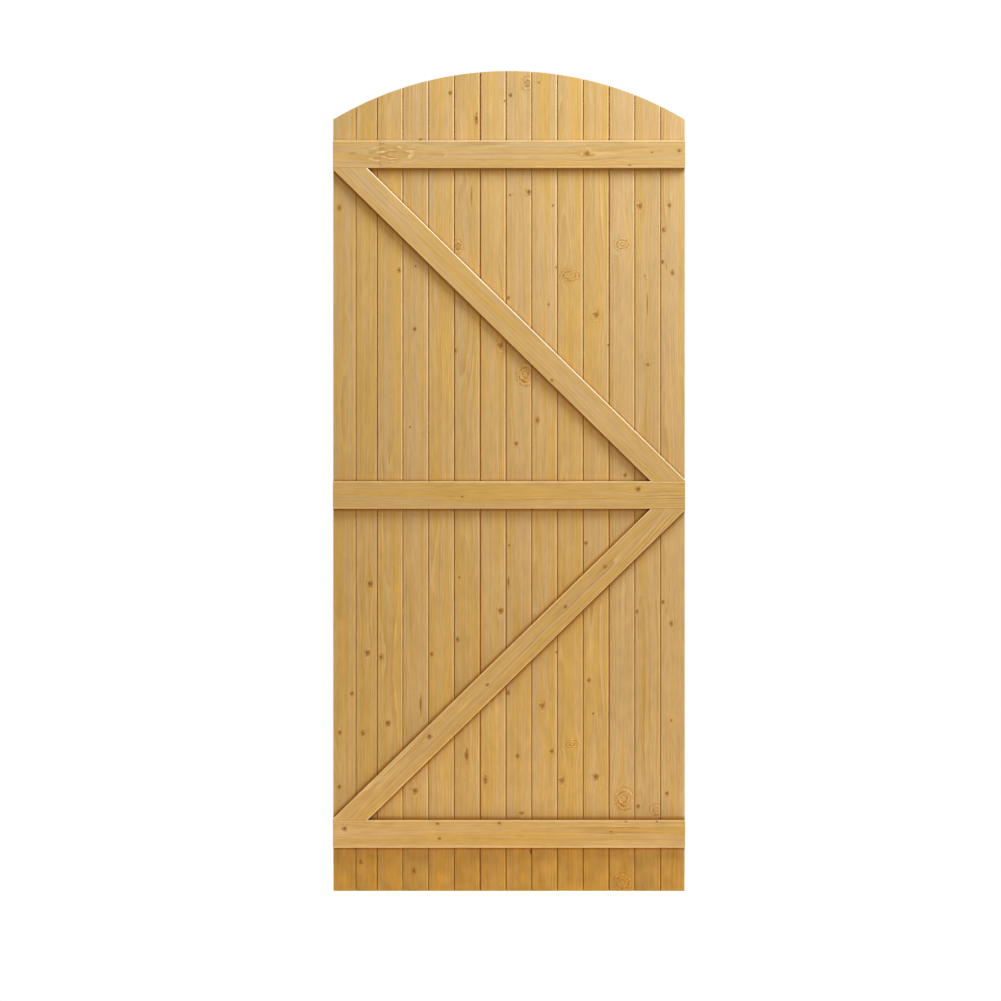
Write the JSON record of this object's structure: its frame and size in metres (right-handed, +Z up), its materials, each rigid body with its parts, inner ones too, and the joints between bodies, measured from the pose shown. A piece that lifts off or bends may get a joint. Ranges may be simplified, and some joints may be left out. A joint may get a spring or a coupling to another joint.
{
  "type": "garden gate leaf",
  "caption": "Arched tongue-and-groove timber garden gate leaf with horizontal ledges and diagonal braces on its back, ready for hinges and a latch.",
  "frame": {"origin": "middle of the leaf's foot, halfway through its depth", "axes": "+Z up, X across the leaf, -Y out of the ledged side, +Y out of the street face"},
  "size_m": [0.9, 0.038, 2.1],
  "materials": {
    "boards": "planed pine with a clear golden treatment, satin",
    "ledges": "planed pine with a clear golden treatment, satin",
    "braces": "planed pine with a clear golden treatment, satin",
    "nails": "galvanised, dull"
  },
  "bodies": {
    "root": {"board_01": "boards", "board_02": "boards", "board_03": "boards", "board_04": "boards", "board_05": "boards", "board_06": "boards", "board_07": "boards", "board_08": "boards", "board_09": "boards", "board_10": "boards", "board_11": "boards", "board_12": "boards", "board_13": "boards", "board_14": "boards", "top_ledge": "ledges", "middle_ledge": "ledges", "bottom_ledge": "ledges", "upper_brace": "braces", "lower_brace": "braces", "top_ledge_nails": "nails", "middle_ledge_nails": "nails", "bottom_ledge_nails": "nails", "upper_brace_nails": "nails", "lower_brace_nails": "nails"}
  },
  "joints": []
}
